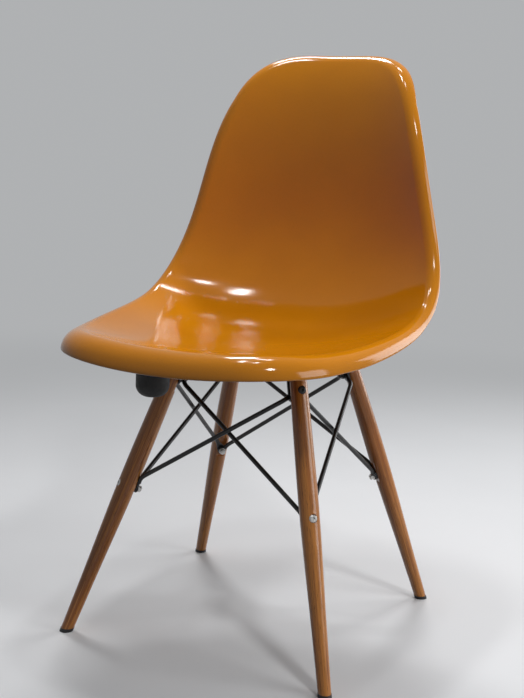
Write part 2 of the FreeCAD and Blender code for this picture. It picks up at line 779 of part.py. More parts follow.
def make_fasteners():
    """Every kind of bolt, nut, washer, screw, insert and nail, as one group each."""
    groups = {}
    for name, place in (("top", TOP_BOLTS), ("mid", MID_BOLTS)):
        groups[name + "_bolts"] = on_every_leg(make_bolt(place))
        washer_start = Vector(-place.washer_end, 0, place.station)
        groups[name + "_washers"] = on_every_leg(make_washer(washer_start, X_AXIS))
        groups[name + "_nuts"] = on_every_leg(make_nut(place))
    under_ear = Z_AXIS * (-BRACKET_THICKNESS - WASHER_THICKNESS)
    groups["mount_inserts"] = on_every_mount(make_insert())
    groups["mount_screws"] = on_every_mount(make_mount_screw())
    groups["mount_washers"] = on_every_mount(make_washer(under_ear, Z_AXIS))
    groups["glide_nails"] = Part.makeCompound([glide_nail(corner, 0.0) for corner in CORNERS])
    return groups


def make_all():
    """Every node by name, still about the base's own centre."""
    shell = make_shell()
    nodes = {"seat_shell": shell, "seat_bumper": make_bumper(shell)}
    for corner in CORNERS:
        nodes[corner + "_leg"] = make_leg(corner)
        nodes[corner + "_glide"] = make_glide(corner)
        nodes[corner + "_bracket"] = make_bracket(corner)
        nodes[corner + "_shock_mount"] = make_mount(corner, shell)
    nodes.update(make_rods())
    nodes.update(make_fasteners())
    return nodes


def main():
    """Build every node, move the origin under the middle of the chair and write the files."""
    os.makedirs("parts", exist_ok=True)
    nodes = make_all()
    box = nodes["seat_shell"].optimalBoundingBox()
    shift = Vector(0, -(box.YMin + box.YMax) / 2, 0)
    for name, shape in nodes.items():
        shape.translate(shift)
        shape.exportStep("parts/" + name + ".step")
        print(name, len(shape.Solids), shape.isValid(), round(shape.Volume, 1))
    print("shift", shift.y, "shell", box)


main()
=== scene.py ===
"""Look of the moulded shell chair, dressed over its CAD frame and set in a plain studio."""
import math

import bmesh
import bpy
import numpy as np
from bpy.props import FloatProperty, FloatVectorProperty, IntProperty, PointerProperty
from bpy.types import Operator, Panel, PropertyGroup, Scene
from mathutils import Matrix, Vector


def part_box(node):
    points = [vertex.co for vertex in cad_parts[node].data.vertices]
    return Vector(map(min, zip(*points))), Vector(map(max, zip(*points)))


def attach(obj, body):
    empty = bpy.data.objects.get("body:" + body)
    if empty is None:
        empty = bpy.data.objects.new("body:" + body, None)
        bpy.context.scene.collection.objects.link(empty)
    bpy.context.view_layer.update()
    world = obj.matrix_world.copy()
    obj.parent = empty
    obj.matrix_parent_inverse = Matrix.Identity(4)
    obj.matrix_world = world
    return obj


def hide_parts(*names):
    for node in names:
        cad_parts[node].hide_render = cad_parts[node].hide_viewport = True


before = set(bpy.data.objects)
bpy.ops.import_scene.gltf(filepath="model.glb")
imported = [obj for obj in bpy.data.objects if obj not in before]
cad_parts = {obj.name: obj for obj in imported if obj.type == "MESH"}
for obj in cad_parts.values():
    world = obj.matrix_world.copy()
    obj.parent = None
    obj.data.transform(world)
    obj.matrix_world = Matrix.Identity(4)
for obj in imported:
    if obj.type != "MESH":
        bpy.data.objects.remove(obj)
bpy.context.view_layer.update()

bl_info = {
    "name": "Moulded shell chair",
    "version": (1, 0, 0),
    "blender": (4, 5, 0),
    "location": "View3D > Sidebar > Chair",
    "description": "Dresses the moulded shell chair and sets it in a plain studio",
    "category": "Object",
}

MM = 0.001
BODY = "root"

CORNERS = {
    "front_left": (-1, -1),
    "front_right": (1, -1),
    "rear_right": (1, 1),
    "rear_left": (-1, 1),
}
CORNER_ORDER = list(CORNERS)

# Shares of the centre line at which the shell's slopes and the lip's radii are given
SLOPE_STATIONS = (0.0, 0.18, 0.36, 0.52, 0.70, 1.0)
LIP_STATIONS = (0.0, 0.12, 0.40, 0.90, 1.0)

# Squareness of a rod's section: 2 is round, and more is flatter
ROUND = 2.0
TONGUE_SQUARENESS = 5.0

# The tongue between a rod's eye and its wire is a hair thinner than the eye that it joins,
# swells from a share of its length on, and bends into the wire
TONGUE_THINNING = 0.985
SWELL_START = 0.3
BEND_LENGTH = 5 * MM

# Rings of points along each stretch of a rod, and how its holed eyes are rounded
TONGUE_RINGS = 14
BEND_RINGS = 7
WIRE_RINGS = 26
EYE_ROUND_OVER = 0.5 * MM
HOLE_ROUND_OVER = 0.2 * MM
HOLE_SIDES = 40
SHARP_ANGLE = math.radians(45)

# Each leg's grain is taken this far from the last one's, so that no two legs look the same
GRAIN_DRIFT = Vector((0.31, 0.17, 0.53))

BLACK = (0.0, 0.0, 0.0)

# Width of the camera's sensor in millimetres
SENSOR_WIDTH = 36.0

# Distances from the middle between which the floor fades into the sky
FLOOR_FADE = (0.4, 3.0)

# Name, place, size and share of the power of each lamp overhead
TOP_LAMPS = (
    ("top_lamp_rear", (-0.11, 0.72, 2.40), (0.30, 0.14), 0.55),
    ("top_lamp_mid", (-0.29, -0.02, 2.44), (0.30, 0.14), 0.95),
    ("top_lamp_left", (-0.66, 0.92, 2.20), (0.46, 0.26), 2.0),
    ("top_lamp_front", (0.12, -0.12, 2.42), (0.12, 0.12), 0.4),
    ("front_lamp", (1.15, -0.85, 2.05), (0.25, 0.25), 1.45),
)
TOP_LAMP_TARGET = (0, 0, 0.4)

# Name, place, size and share of the power of each upright panel beside the chair
SIDE_PANELS = (
    ("rear_panel", (1.15, 1.90, 0.95), (1.4, 1.2), 1.0),
    ("right_panel", (1.95, 0.15, 0.90), (0.9, 1.0), 0.65),
)
SIDE_PANEL_TARGET = (0, 0, 0.35)


def middle_of(node):
    """Middle of a CAD node's box."""
    low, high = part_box(node)
    return (low + high) / 2


# The base stands behind the origin, which lies under the middle of the whole chair
BASE_CENTRE = sum((middle_of(corner + "_glide") for corner in CORNERS), Vector()) / 4
BASE_CENTRE.z = 0.0


class ShellSizes(PropertyGroup):
    """Sizes of the moulded shell."""

    front_y: FloatProperty(
        name="Front edge", description="Front edge's place from the base's centre",
        default=-281.6 * MM, unit="LENGTH")
    front_z: FloatProperty(
        name="Front height", description="Height of the front edge's upper side",
        default=433.7 * MM, unit="LENGTH")
    centre_length: FloatProperty(
        name="Centre length", description="Length of the centre line from front to top",
        default=799.7 * MM, unit="LENGTH")
    slopes: FloatVectorProperty(
        name="Slopes", description="Slope of the centre line at its stations",
        default=[math.radians(a) for a in (-16.1, -1.0, 3.5, 41.4, 87.0, 59.6)],
        size=6, unit="ROTATION")
    half_widths: FloatVectorProperty(
        name="Half widths", description="Half width where the lip begins, at even stations",
        default=[w * MM for w in (170.8, 199.1, 203.3, 172.6, 151.5)], size=5, unit="LENGTH")
    rim_rises: FloatVectorProperty(
        name="Rim rises", description="Rise of the rim above the centre line, at even stations",
        default=[r * MM for r in (21.0, 27.9, 50.2, 54.2, 56.8)], size=5, unit="LENGTH")
    rim_power: FloatProperty(
        name="Dish", description="How late the dish turns up towards the rim", default=2.29)
    front_corner: FloatProperty(
        name="Front corners", description="Squareness of the seat's front corners", default=4.64)
    top_corner: FloatProperty(
        name="Top corners", description="Squareness of the back's top corners", default=3.28)
    wall: FloatProperty(
        name="Wall", description="Thickness of the moulded wall", default=4 * MM, unit="LENGTH")
    lip_sweep: FloatProperty(
        name="Lip sweep", description="Turn of the lip that rolls over round the rim",
        default=math.radians(100), unit="ROTATION")
    lip_radii: FloatVectorProperty(
        name="Lip radii", description="Radius of the lip at its stations",
        default=[r * MM for r in (29.3, 21.4, 13.6, 13.6, 20.9)], size=5, unit="LENGTH")
    side_cuts: IntProperty(
        name="Side cuts", description="Mesh rows along a quarter of the rim", default=104, min=8)
    ring_cuts: IntProperty(
        name="Ring cuts", description="Mesh rows from the middle field to the rim",
        default=52, min=4)
    lip_cuts: IntProperty(
        name="Lip cuts", description="Mesh rows round the lip", default=20, min=4)
    edge_cuts: IntProperty(
        name="Edge cuts", description="Mesh rows round the lip's edge", default=8, min=2)
    colour: FloatVectorProperty(
        name="Shell colour", description="Colour of the moulded plastic",
        default=(0.660, 0.232, 0.0012), size=3, subtype="COLOR", min=0, max=1)
    deep_colour: FloatVectorProperty(
        name="Deep colour", description="Colour of the plastic where it is mottled",
        default=(0.610, 0.208, 0.001), size=3, subtype="COLOR", min=0, max=1)


class BaseSizes(PropertyGroup):
    """Sizes of the base: legs and brace rods."""

    foot_half_span: FloatProperty(
        name="Foot half span", description="Half distance between the feet",
        default=197 * MM, unit="LENGTH")
    bolt_half_span: FloatProperty(
        name="Bolt half span", description="Half distance between the legs at the top bolts",
        default=96.5 * MM, unit="LENGTH")
    top_bolt_height: FloatProperty(
        name="Top bolts", description="Height of the top bolts",
        default=365.07 * MM, unit="LENGTH")
    mid_bolt_height: FloatProperty(
        name="Middle bolts", description="Height of the middle bolts",
        default=208 * MM, unit="LENGTH")
    top_tab_depth: FloatProperty(
        name="Top layers", description="Leg's middle to the first rod end at a top bolt",
        default=11.905 * MM, unit="LENGTH")
    mid_tab_depth: FloatProperty(
        name="Middle layers", description="Leg's middle to the first rod end at a middle bolt",
        default=11.25 * MM, unit="LENGTH")
    rod_diameter: FloatProperty(
        name="Rod", description="Diameter of the brace rods", default=6.3 * MM, unit="LENGTH")
    eye_diameter: FloatProperty(
        name="Eye", description="Width of a rod's flattened eye", default=13 * MM, unit="LENGTH")
    eye_thickness: FloatProperty(
        name="Eye thickness", description="Thickness of a rod's flattened eye",
        default=2.5 * MM, unit="LENGTH")
    hole_diameter: FloatProperty(
        name="Eye hole", description="Hole through a rod's eye", default=5.5 * MM, unit="LENGTH")
    outer_reach: FloatProperty(
        name="Outer tongue", description="Length of the tongue of a rod next to the leg",
        default=22 * MM, unit="LENGTH")
    inner_reach: FloatProperty(
        name="Inner tongue", description="Length of the tongue of a rod next to the washer",
        default=13 * MM, unit="LENGTH")
    wood_light: FloatVectorProperty(
        name="Light wood", description="Colour of the early wood",
        default=(0.700, 0.270, 0.052), size=3, subtype="COLOR", min=0, max=1)
    wood_dark: FloatVectorProperty(
        name="Dark wood", description="Colour of the late wood",
        default=(0.350, 0.104, 0.017), size=3, subtype="COLOR", min=0, max=1)
    steel_black: FloatVectorProperty(
        name="Black paint", description="Colour of the painted steel",
        default=(0.007, 0.007, 0.008), size=3, subtype="COLOR", min=0, max=1)
    steel_bright: FloatVectorProperty(
        name="Bright steel", description="Colour of the plated steel",
        default=(0.560, 0.550, 0.530), size=3, subtype="COLOR", min=0, max=1)
    rubber: FloatVectorProperty(
        name="Rubber", description="Colour of the mounts and the bumper",
        default=(0.011, 0.011, 0.012), size=3, subtype="COLOR", min=0, max=1)


class StudioSettings(PropertyGroup):
    """Floor, lamps and camera."""

    floor_colour: FloatVectorProperty(
        name="Floor colour", description="Colour in which the floor shows",
        default=(0.80, 0.81, 0.83), size=3, subtype="COLOR", min=0, max=1)
    bounce_colour: FloatVectorProperty(
        name="Bounce colour", description="Colour of the light that the floor throws back",
        default=(0.15, 0.155, 0.16), size=3, subtype="COLOR", min=0, max=1)
    top_power: FloatProperty(
        name="Top lamps", description="Power of a lamp overhead whose share is 1",
        default=7.6, unit="POWER")
    side_power: FloatProperty(
        name="Side panels", description="Power of the wide panel behind on the right",
        default=20.0, unit="POWER")
    sky_colour: FloatVectorProperty(
        name="Sky colour", description="Colour of the light from all round",
        default=(0.96, 0.98, 1.0), size=3, subtype="COLOR", min=0, max=1)
    sky_strength: FloatProperty(
        name="Sky", description="Strength of the light from all round", default=0.10, min=0)
    sky_shown: FloatProperty(
        name="Sky shown", description="Strength at which the sky shows, where 1 is white",
        default=0.45, min=0)
    camera_place: FloatVectorProperty(
        name="Camera", description="Place of the camera",
        default=(0.6788, -1.4210, 0.6587), size=3, unit="LENGTH")
    camera_azimuth: FloatProperty(
        name="Azimuth", description="Camera's turn about the chair",
        default=math.radians(25.16), unit="ROTATION")
    camera_elevation: FloatProperty(
        name="Elevation", description="Camera's tilt downwards",
        default=math.radians(9.18), unit="ROTATION")
    camera_roll: FloatProperty(
        name="Roll", description="Camera's turn about its view",
        default=math.radians(2.72), unit="ROTATION")
    camera_lens: FloatProperty(
        name="Lens", description="Focal length on a 36 mm sensor in millimetres", default=58.61)


def natural_spline(stations, values):
    """Return a function that runs smoothly through the values at the stations."""
    stations, values = np.array(stations, float), np.array(values, float)
    gaps = np.diff(stations)
    slopes = np.diff(values) / gaps
    system, sides = np.eye(len(stations)), np.zeros(len(stations))
    for i in range(1, len(stations) - 1):
        system[i, i - 1:i + 2] = gaps[i - 1], 2 * (gaps[i - 1] + gaps[i]), gaps[i]
        sides[i] = 6 * (slopes[i] - slopes[i - 1])
    bends = np.linalg.solve(system, sides)

    def value(t):
        i = np.clip(np.searchsorted(stations, t) - 1, 0, len(gaps) - 1)
        a = (stations[i + 1] - t) / gaps[i]
        b = 1 - a
        curve = (a ** 3 - a) * bends[i] + (b ** 3 - b) * bends[i + 1]
        return a * values[i] + b * values[i + 1] + curve * gaps[i] ** 2 / 6

    return value


def unit(vectors):
    """Vectors of length one."""
    return vectors / np.linalg.norm(vectors, axis=-1, keepdims=True)


class ShellForm:
    """Form of the shell: a dish along a curved centre line, with a lip all round."""

    # Steps that add up to the centre line, and small moves that measure a slope
    line_steps = 800
    small_step = 0.2 * MM
    small_turn = 1e-4

    # How far out the corners of the middle field lie, as a share of the way to the rim
    core_share = 0.5

    def __init__(self, sizes):
        even = np.linspace(0, 1, len(sizes.half_widths))
        self.sizes = sizes
        self.length = sizes.centre_length
        self.slope = natural_spline(SLOPE_STATIONS, sizes.slopes)
        self.width = natural_spline(even, sizes.half_widths)
        self.rise = natural_spline(even, sizes.rim_rises)
        step = self.length / self.line_steps
        turns = self.slope((np.arange(self.line_steps) + 0.5) / self.line_steps)
        self.stations = np.linspace(0, 1, self.line_steps + 1)
        self.line_y = BASE_CENTRE.y + sizes.front_y + np.append(0, np.cumsum(np.cos(turns))) * step
        self.line_z = sizes.front_z + np.append(0, np.cumsum(np.sin(turns))) * step

    def upper(self, place):
        """Points of the upper side at places (across, along)."""
        across, station = place[..., 0], np.clip(place[..., 1] / self.length, 0, 1)
        turn = self.slope(station)
        rise = self.rise(station) * np.abs(across / self.width(station)) ** self.sizes.rim_power
        y = np.interp(station, self.stations, self.line_y) - np.sin(turn) * rise
        z = np.interp(station, self.stations, self.line_z) + np.cos(turn) * rise
        return np.stack([across, y, z], axis=-1)

    def normal(self, place):
        """Unit normals of the upper side, towards the sitter."""
        side = np.array([self.small_step, 0.0])
        ahead = np.array([0.0, self.small_step])
        across = self.upper(place + side) - self.upper(place - side)
        along = self.upper(place + ahead) - self.upper(place - ahead)
        return unit(np.cross(across, along))

    def outline(self, angle):
        """Places on the outline of the dish, where the lip begins."""
        power = np.where(np.sin(angle) < 0, self.sizes.front_corner, self.sizes.top_corner)
        size = np.abs(np.cos(angle)) ** power + np.abs(np.sin(angle)) ** power
        radius = size ** (-1 / power)
        station = 0.5 * (1 + radius * np.sin(angle))
        return np.stack(
            [self.width(station) * radius * np.cos(angle), station * self.length], axis=-1)

    def side_angles(self, side):
        """Angles along one of the outline's four sides."""
        return np.pi / 4 + np.pi / 2 * (side + np.linspace(0, 1, self.sizes.side_cuts + 1))

    def core_corner(self, side):
        """Corner of the middle field at which a side starts."""
        centre = np.array([0.0, self.length / 2])
        corner = self.outline(np.array(np.pi / 4 + np.pi / 2 * side))
        return centre + (corner - centre) * self.core_share

    def field_places(self):
        """Grids of places that cover the dish: a middle field and a ring of four."""
        share = np.linspace(0, 1, self.sizes.side_cuts + 1)[:, None]
        left = self.core_corner(2) + (self.core_corner(1) - self.core_corner(2)) * share
        right = self.core_corner(3) + (self.core_corner(0) - self.core_corner(3)) * share
        grids = [left[:, None] + (right - left)[:, None] * share[None]]
        reach = np.linspace(0, 1, self.sizes.ring_cuts + 1)[None, :, None]
        for side in range(4):
            inner = self.core_corner(side) + (
                self.core_corner(side + 1) - self.core_corner(side)) * share
            outer = self.outline(self.side_angles(side))
            grids.append(inner[:, None] + (outer - inner)[:, None] * reach)
        return grids

    def rim(self, angle):
        """Start of the lip: points, normals, ways out and radii."""
        place = self.outline(angle)
        ahead = self.upper(self.outline(angle + self.small_turn))
        behind = self.upper(self.outline(angle - self.small_turn))
        normal = self.normal(place)
        outward = unit(np.cross(ahead - behind, normal))
        radius = np.interp(place[:, 1] / self.length, LIP_STATIONS, self.sizes.lip_radii)
        return self.upper(place), normal, outward, radius[:, None]

    def lip(self, angle, depth):
        """Grid of points round the lip, sunk by a depth."""
        start, normal, outward, radius = self.rim(angle)
        turn = np.linspace(0, self.sizes.lip_sweep, self.sizes.lip_cuts + 1)[None, :, None]
        away = outward[:, None] * np.sin(turn) + normal[:, None] * np.cos(turn)
        return (start - normal * radius)[:, None] + away * (radius - depth)[:, None]

    def edge(self, angle):
        """Grid of points round the half-round edge that closes the lip."""
        start, normal, outward, radius = self.rim(angle)
        sweep, half = self.sizes.lip_sweep, self.sizes.wall / 2
        away = outward * math.sin(sweep) + normal * math.cos(sweep)
        onward = outward * math.cos(sweep) - normal * math.sin(sweep)
        middle = start - normal * radius + away * (radius - half)
        bow = np.linspace(0, np.pi, self.sizes.edge_cuts + 1)[None, :, None]
        round_edge = away[:, None] * np.cos(bow) + onward[:, None] * np.sin(bow)
        return middle[:, None] + round_edge * half

    def grids(self):
        """All grids of the closed shell, each with whether its faces are turned over."""
        made = []
        for depth in (0.0, self.sizes.wall):
            for index, places in enumerate(self.field_places()):
                points = self.upper(places) - self.normal(places) * depth
                made.append((points, (index > 0) != (depth > 0)))
            for side in range(4):
                made.append((self.lip(self.side_angles(side), depth), depth == 0.0))
        for side in range(4):
            made.append((self.edge(self.side_angles(side)), True))
        return made


def mesh_from_grids(name, grids, weld=0.01 * MM):
    """Mesh of grids of points, welded where they meet."""
    points, faces, start = [], [], 0
    for grid, turned in grids:
        rows, columns = grid.shape[:2]
        index = start + np.arange(rows * columns).reshape(rows, columns)
        quads = np.stack([index[:-1, :-1], index[:-1, 1:], index[1:, 1:], index[1:, :-1]], axis=-1)
        quads = quads.reshape(-1, 4)
        faces.append(quads[:, ::-1] if turned else quads)
        points.append(grid.reshape(-1, 3))
        start += rows * columns
    mesh = bpy.data.meshes.new(name)
    mesh.from_pydata(np.concatenate(points).tolist(), [], np.concatenate(faces).tolist())
    work = bmesh.new()
    work.from_mesh(mesh)
    bmesh.ops.remove_doubles(work, verts=work.verts, dist=weld)
    bmesh.ops.recalc_face_normals(work, faces=work.faces)
    work.to_mesh(mesh)
    work.free()
    mesh.shade_smooth()
    return mesh


def add_object(name, data):
    """New object in the scene, with its mesh, lamp or lens."""
    made = bpy.data.objects.new(name, data)
    bpy.context.scene.collection.objects.link(made)
    return made


def add_piece(name, mesh, node, finish):
    """New piece that stands for a CAD node, in a finish."""
    piece = add_object(name, mesh)
    piece.data.materials.append(finish)
    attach(piece, BODY)
    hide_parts(node)
    return piece


def give_finish(node, finish):
    """Dress a CAD node that stays, in a finish."""
    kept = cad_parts[node]
    if not kept.material_slots:
        kept.data.materials.append(finish)
    for place in kept.material_slots:
        place.material = finish


def scaled(colour, share, lift=0.0):
    """Colour times a share, lifted a little."""
    return [part * share + lift for part in colour]


class Finish:
    """A material in the making: a shader with nodes that feed it."""

    def __init__(self, name, **values):
        self.material = bpy.data.materials.new(name)
        self.material.use_nodes = True
        self.tree = self.material.node_tree
        self.tree.nodes.clear()
        output = self.add("ShaderNodeOutputMaterial")
        self.shader = self.add("ShaderNodeBsdfPrincipled", **values)
        self.link(self.shader.outputs["BSDF"], output.inputs["Surface"])
        self.place = self.add("ShaderNodeTexCoord").outputs["Object"]

    def link(self, source, target):
        """Link an output to a socket."""
        self.tree.links.new(source, target)

    def add(self, kind, settings=None, **values):
        """Node of a kind, with its settings, and with values or links on its sockets."""
        node = self.tree.nodes.new(kind)
        for key, value in (settings or {}).items():
            setattr(node, key, value)
        for key, value in values.items():
            socket = node.inputs[key.replace("_", " ")]
            if isinstance(value, bpy.types.NodeSocket):
                self.link(value, socket)
            else:
                socket.default_value = value
        return node

    def stretched(self, scale, origin=(0, 0, 0), turn=(0, 0, 0), drift=(0, 0, 0)):
        """The object's own coordinates seen from an origin and a turn, stretched and shifted."""
        local = self.add("ShaderNodeMapping", {"vector_type": "TEXTURE"},
                         Vector=self.place, Location=origin, Rotation=turn)
        moved = self.add("ShaderNodeMapping", {"vector_type": "POINT"},
                         Vector=local.outputs["Vector"], Location=drift, Scale=scale)
        return moved.outputs["Vector"]

    def noise(self, scale, detail=4.0, roughness=0.5, vector=None, distortion=0.0):
        """Noise over the object's own coordinates, or over others."""
        node = self.add("ShaderNodeTexNoise", Vector=vector or self.place, Scale=scale,
                        Detail=detail, Roughness=roughness, Distortion=distortion)
        return node.outputs["Fac"]

    def remap(self, value, source, target, interpolation="LINEAR"):
        """Value taken from one range to another."""
        node = self.add("ShaderNodeMapRange", {"interpolation_type": interpolation},
                        Value=value, From_Min=source[0], From_Max=source[1],
                        To_Min=target[0], To_Max=target[1])
        return node.outputs["Result"]

    def sum(self, first, second):
        """Sum of two values, held between 0 and 1."""
        node = self.add("ShaderNodeMath", {"operation": "ADD", "use_clamp": True})
        self.link(first, node.inputs[0])
        self.link(second, node.inputs[1])
        return node.outputs[0]

    def mix(self, share, first, second):
        """Two colours mixed by a share. In a colour mix they are inputs 6 and 7."""
        node = self.add("ShaderNodeMix", {"data_type": "RGBA"})
        self.link(share, node.inputs[0])
        for socket, colour in ((node.inputs[6], first), (node.inputs[7], second)):
            if isinstance(colour, bpy.types.NodeSocket):
                self.link(colour, socket)
            else:
                socket.default_value = (*colour, 1.0)
        return node.outputs[2]

    def bump(self, height, distance, under=None):
        """Normal raised by a height, over another bump if there is one."""
        node = self.add("ShaderNodeBump", Height=height, Distance=distance)
        if under:
            self.link(under, node.inputs["Normal"])
        return node.outputs["Normal"]

    def feed(self, **sources):
        """Link outputs to the shader's sockets, and return the material."""
        for key, source in sources.items():
            self.link(source, self.shader.inputs[key.replace("_", " ")])
        return self.material


def gloss_plastic(sizes):
    """Moulded glossy plastic: faint mottling, a soft waviness and fine handling marks."""
    finish = Finish("gloss_plastic", IOR=1.40)
    cloud = finish.remap(finish.noise(7.0, detail=3.0), (0.35, 0.65), (0.0, 1.0))
    colour = finish.mix(cloud, sizes.colour, sizes.deep_colour)
    fleck = finish.remap(finish.noise(420.0, detail=2.0), (0.45, 0.75), (0.0, 0.10))
    colour = finish.mix(fleck, colour, scaled(sizes.deep_colour, 0.6))
    worn = finish.noise(38.0, detail=6.0, roughness=0.65)
    worn = finish.remap(worn, (0.3, 0.75), (0.085, 0.15))
    streaked = finish.stretched((1.0, 14.0, 14.0))
    scratch = finish.noise(60.0, detail=5.0, roughness=0.7, vector=streaked)
    scratch = finish.remap(scratch, (0.62, 0.75), (0.0, 0.08))
    wave = finish.bump(finish.noise(16.0, detail=1.0), 0.3 * MM)
    peel = finish.bump(finish.noise(500.0, detail=2.0), 0.004 * MM, under=wave)
    return finish.feed(Base_Color=colour, Roughness=finish.sum(worn, scratch), Normal=peel)


def oiled_wood(name, sizes, leg, seed):
    """Turned wood with its grain along the leg."""
    finish = Finish(name, IOR=1.5, Specular_IOR_Level=0.15, Coat_Weight=0.8,
                    Coat_Roughness=0.22)

    def grain(scale, detail, roughness, distortion=0.0):
        place = finish.stretched(scale, leg.translation, leg.to_euler(), GRAIN_DRIFT * seed)
        return finish.noise(1.0, detail, roughness, place, distortion)

    sway = grain((24.0, 24.0, 3.0), detail=2.0, roughness=0.5)
    rings = grain((190.0, 70.0, 2.0), detail=2.0, roughness=0.5, distortion=1.6)
    fibre = grain((800.0, 800.0, 18.0), detail=5.0, roughness=0.7)
    pore = grain((1400.0, 1400.0, 60.0), detail=3.0, roughness=0.6)
    band = finish.remap(rings, (0.42, 0.60), (0.0, 0.75))
    colour = finish.mix(band, sizes.wood_light, sizes.wood_dark)
    patch = finish.remap(sway, (0.42, 0.62), (0.0, 0.5))
    colour = finish.mix(patch, colour, sizes.wood_dark)
    streak = finish.remap(fibre, (0.42, 0.70), (0.0, 0.45))
    colour = finish.mix(streak, colour, scaled(sizes.wood_dark, 0.40))
    pores = finish.remap(pore, (0.60, 0.70), (0.0, 0.8))
    colour = finish.mix(pores, colour, scaled(sizes.wood_dark, 0.20))
    rough = finish.remap(fibre, (0.3, 0.7), (0.24, 0.42))
    low = finish.bump(fibre, 0.05 * MM)
    high = finish.bump(pore, 0.04 * MM, under=low)
    return finish.feed(Base_Color=colour, Roughness=rough, Normal=high)


def painted_steel(name, colour, roughness=0.34):
    """Steel with a thin black paint, slightly rough, worn a little paler."""
    finish = Finish(name, IOR=1.5)
    wear = finish.noise(160.0, detail=6.0, roughness=0.7)
    wear = finish.remap(wear, (0.6, 0.78), (0.0, 0.5))
    shade = finish.mix(wear, colour, scaled(colour, 3.0, 0.01))
    rough = finish.remap(finish.noise(90.0), (0.3, 0.7), (roughness - 0.07, roughness + 0.09))
    peel = finish.bump(finish.noise(1600.0, detail=2.0), 0.02 * MM)
    return finish.feed(Base_Color=shade, Roughness=rough, Normal=peel)


def bright_steel(colour):
    """Plated steel with fine turning marks."""
    finish = Finish("brushed_steel", Metallic=1.0)
    turned = finish.stretched((300.0, 300.0, 2600.0))
    mark = finish.noise(1.0, detail=4.0, roughness=0.6, vector=turned)
    shade = finish.mix(finish.remap(mark, (0.3, 0.7), (0.0, 1.0)), colour, scaled(colour, 0.75))
    rough = finish.remap(mark, (0.3, 0.7), (0.24, 0.42))
    return finish.feed(Base_Color=shade, Roughness=rough, Normal=finish.bump(mark, 0.015 * MM))


def moulded_rubber(colour):
    """Dull black rubber with a faint bloom."""
    finish = Finish("rubber", IOR=1.5)
    bloom = finish.noise(60.0, detail=6.0, roughness=0.65)
    bloom = finish.remap(bloom, (0.5, 0.8), (0.0, 0.5))
    shade = finish.mix(bloom, colour, scaled(colour, 2.2, 0.008))
    rough = finish.remap(finish.noise(220.0, detail=3.0), (0.3, 0.7), (0.55, 0.75))
    skin = finish.bump(finish.noise(900.0, detail=3.0), 0.04 * MM)
    return finish.feed(Base_Color=shade, Roughness=rough, Normal=skin)


def glide_plastic(colour):
    """Hard black plastic, scuffed where it meets the floor."""
    finish = Finish("glide_plastic", IOR=1.49)
    scuff = finish.noise(240.0, detail=6.0, roughness=0.75)
    scuff = finish.remap(scuff, (0.5, 0.75), (0.0, 0.6))
    shade = finish.mix(scuff, colour, scaled(colour, 2.5, 0.01))
    rough = finish.remap(finish.noise(120.0), (0.3, 0.7), (0.38, 0.6))
    skin = finish.bump(finish.noise(1200.0, detail=2.0), 0.02 * MM)
    return finish.feed(Base_Color=shade, Roughness=rough, Normal=skin)


def visible_rays(tree):
    """1 for rays that show a surface: from the camera, or by way of gloss or glass."""
    rays = tree.nodes.new("ShaderNodeLightPath").outputs
    seen = rays["Is Camera Ray"]
    for other in (rays["Is Glossy Ray"], rays["Is Transmission Ray"]):
        either = tree.nodes.new("ShaderNodeMath")
        either.operation = "MAXIMUM"
        tree.links.new(seen, either.inputs[0])
        tree.links.new(other, either.inputs[1])
        seen = either.outputs[0]
    return seen


def studio_floor(settings):
    """Matt pale floor with a barely seen unevenness, which fades into the sky far off."""
    finish = Finish("studio_floor", Specular_IOR_Level=0.0)
    uneven = finish.remap(finish.noise(3.0), (0.3, 0.7), (0.0, 1.0))
    shade = finish.mix(uneven, settings.floor_colour, scaled(settings.floor_colour, 0.97))
    seen = visible_rays(finish.tree)
    shade = finish.mix(seen, settings.bounce_colour, shade)
    reach = finish.add("ShaderNodeVectorMath", {"operation": "LENGTH"}, Vector=finish.place)
    far = finish.remap(reach.outputs["Value"], FLOOR_FADE, (0.0, 1.0), "SMOOTHSTEP")
    shade = finish.mix(far, shade, BLACK)
    glow = finish.mix(seen, BLACK, settings.sky_colour)
    lift = finish.remap(far, (0.0, 1.0), (0.0, settings.sky_shown))
    rough = finish.remap(finish.noise(25.0), (0.3, 0.7), (0.6, 0.75))
    return finish.feed(Base_Color=shade, Roughness=rough, Emission_Color=glow,
                       Emission_Strength=lift)


def leg_frame(corner, sizes):
    """Frame of a leg: X outward across it, Z up along it, the origin on the floor."""
    outward = Vector((*CORNERS[corner], 0)).normalized()
    spread = (sizes.foot_half_span - sizes.bolt_half_span) * math.sqrt(2)
    lean = math.atan2(spread, sizes.top_bolt_height)
    out = outward * math.cos(lean) + Vector((0, 0, math.sin(lean)))
    up = Vector((0, 0, math.cos(lean))) - outward * math.sin(lean)
    frame_axes = Matrix((out, up.cross(out), up)).transposed().to_4x4()
    origin = BASE_CENTRE + outward * sizes.foot_half_span * math.sqrt(2)
    return Matrix.Translation(origin) @ frame_axes, lean


def round_section(place, count=28):
    """Ring of points at a place, round for a power of 2 and flatter above it."""
    centre, direction, flat, half_width, half_height, power = place
    flat = unit(flat - direction * np.dot(flat, direction))
    side = np.cross(flat, direction)
    turn = np.linspace(0, 2 * np.pi, count, endpoint=False)[:, None]
    across = np.sign(np.cos(turn)) * np.abs(np.cos(turn)) ** (2 / power) * half_width
    up = np.sign(np.sin(turn)) * np.abs(np.sin(turn)) ** (2 / power) * half_height
    return centre + across * side + up * flat


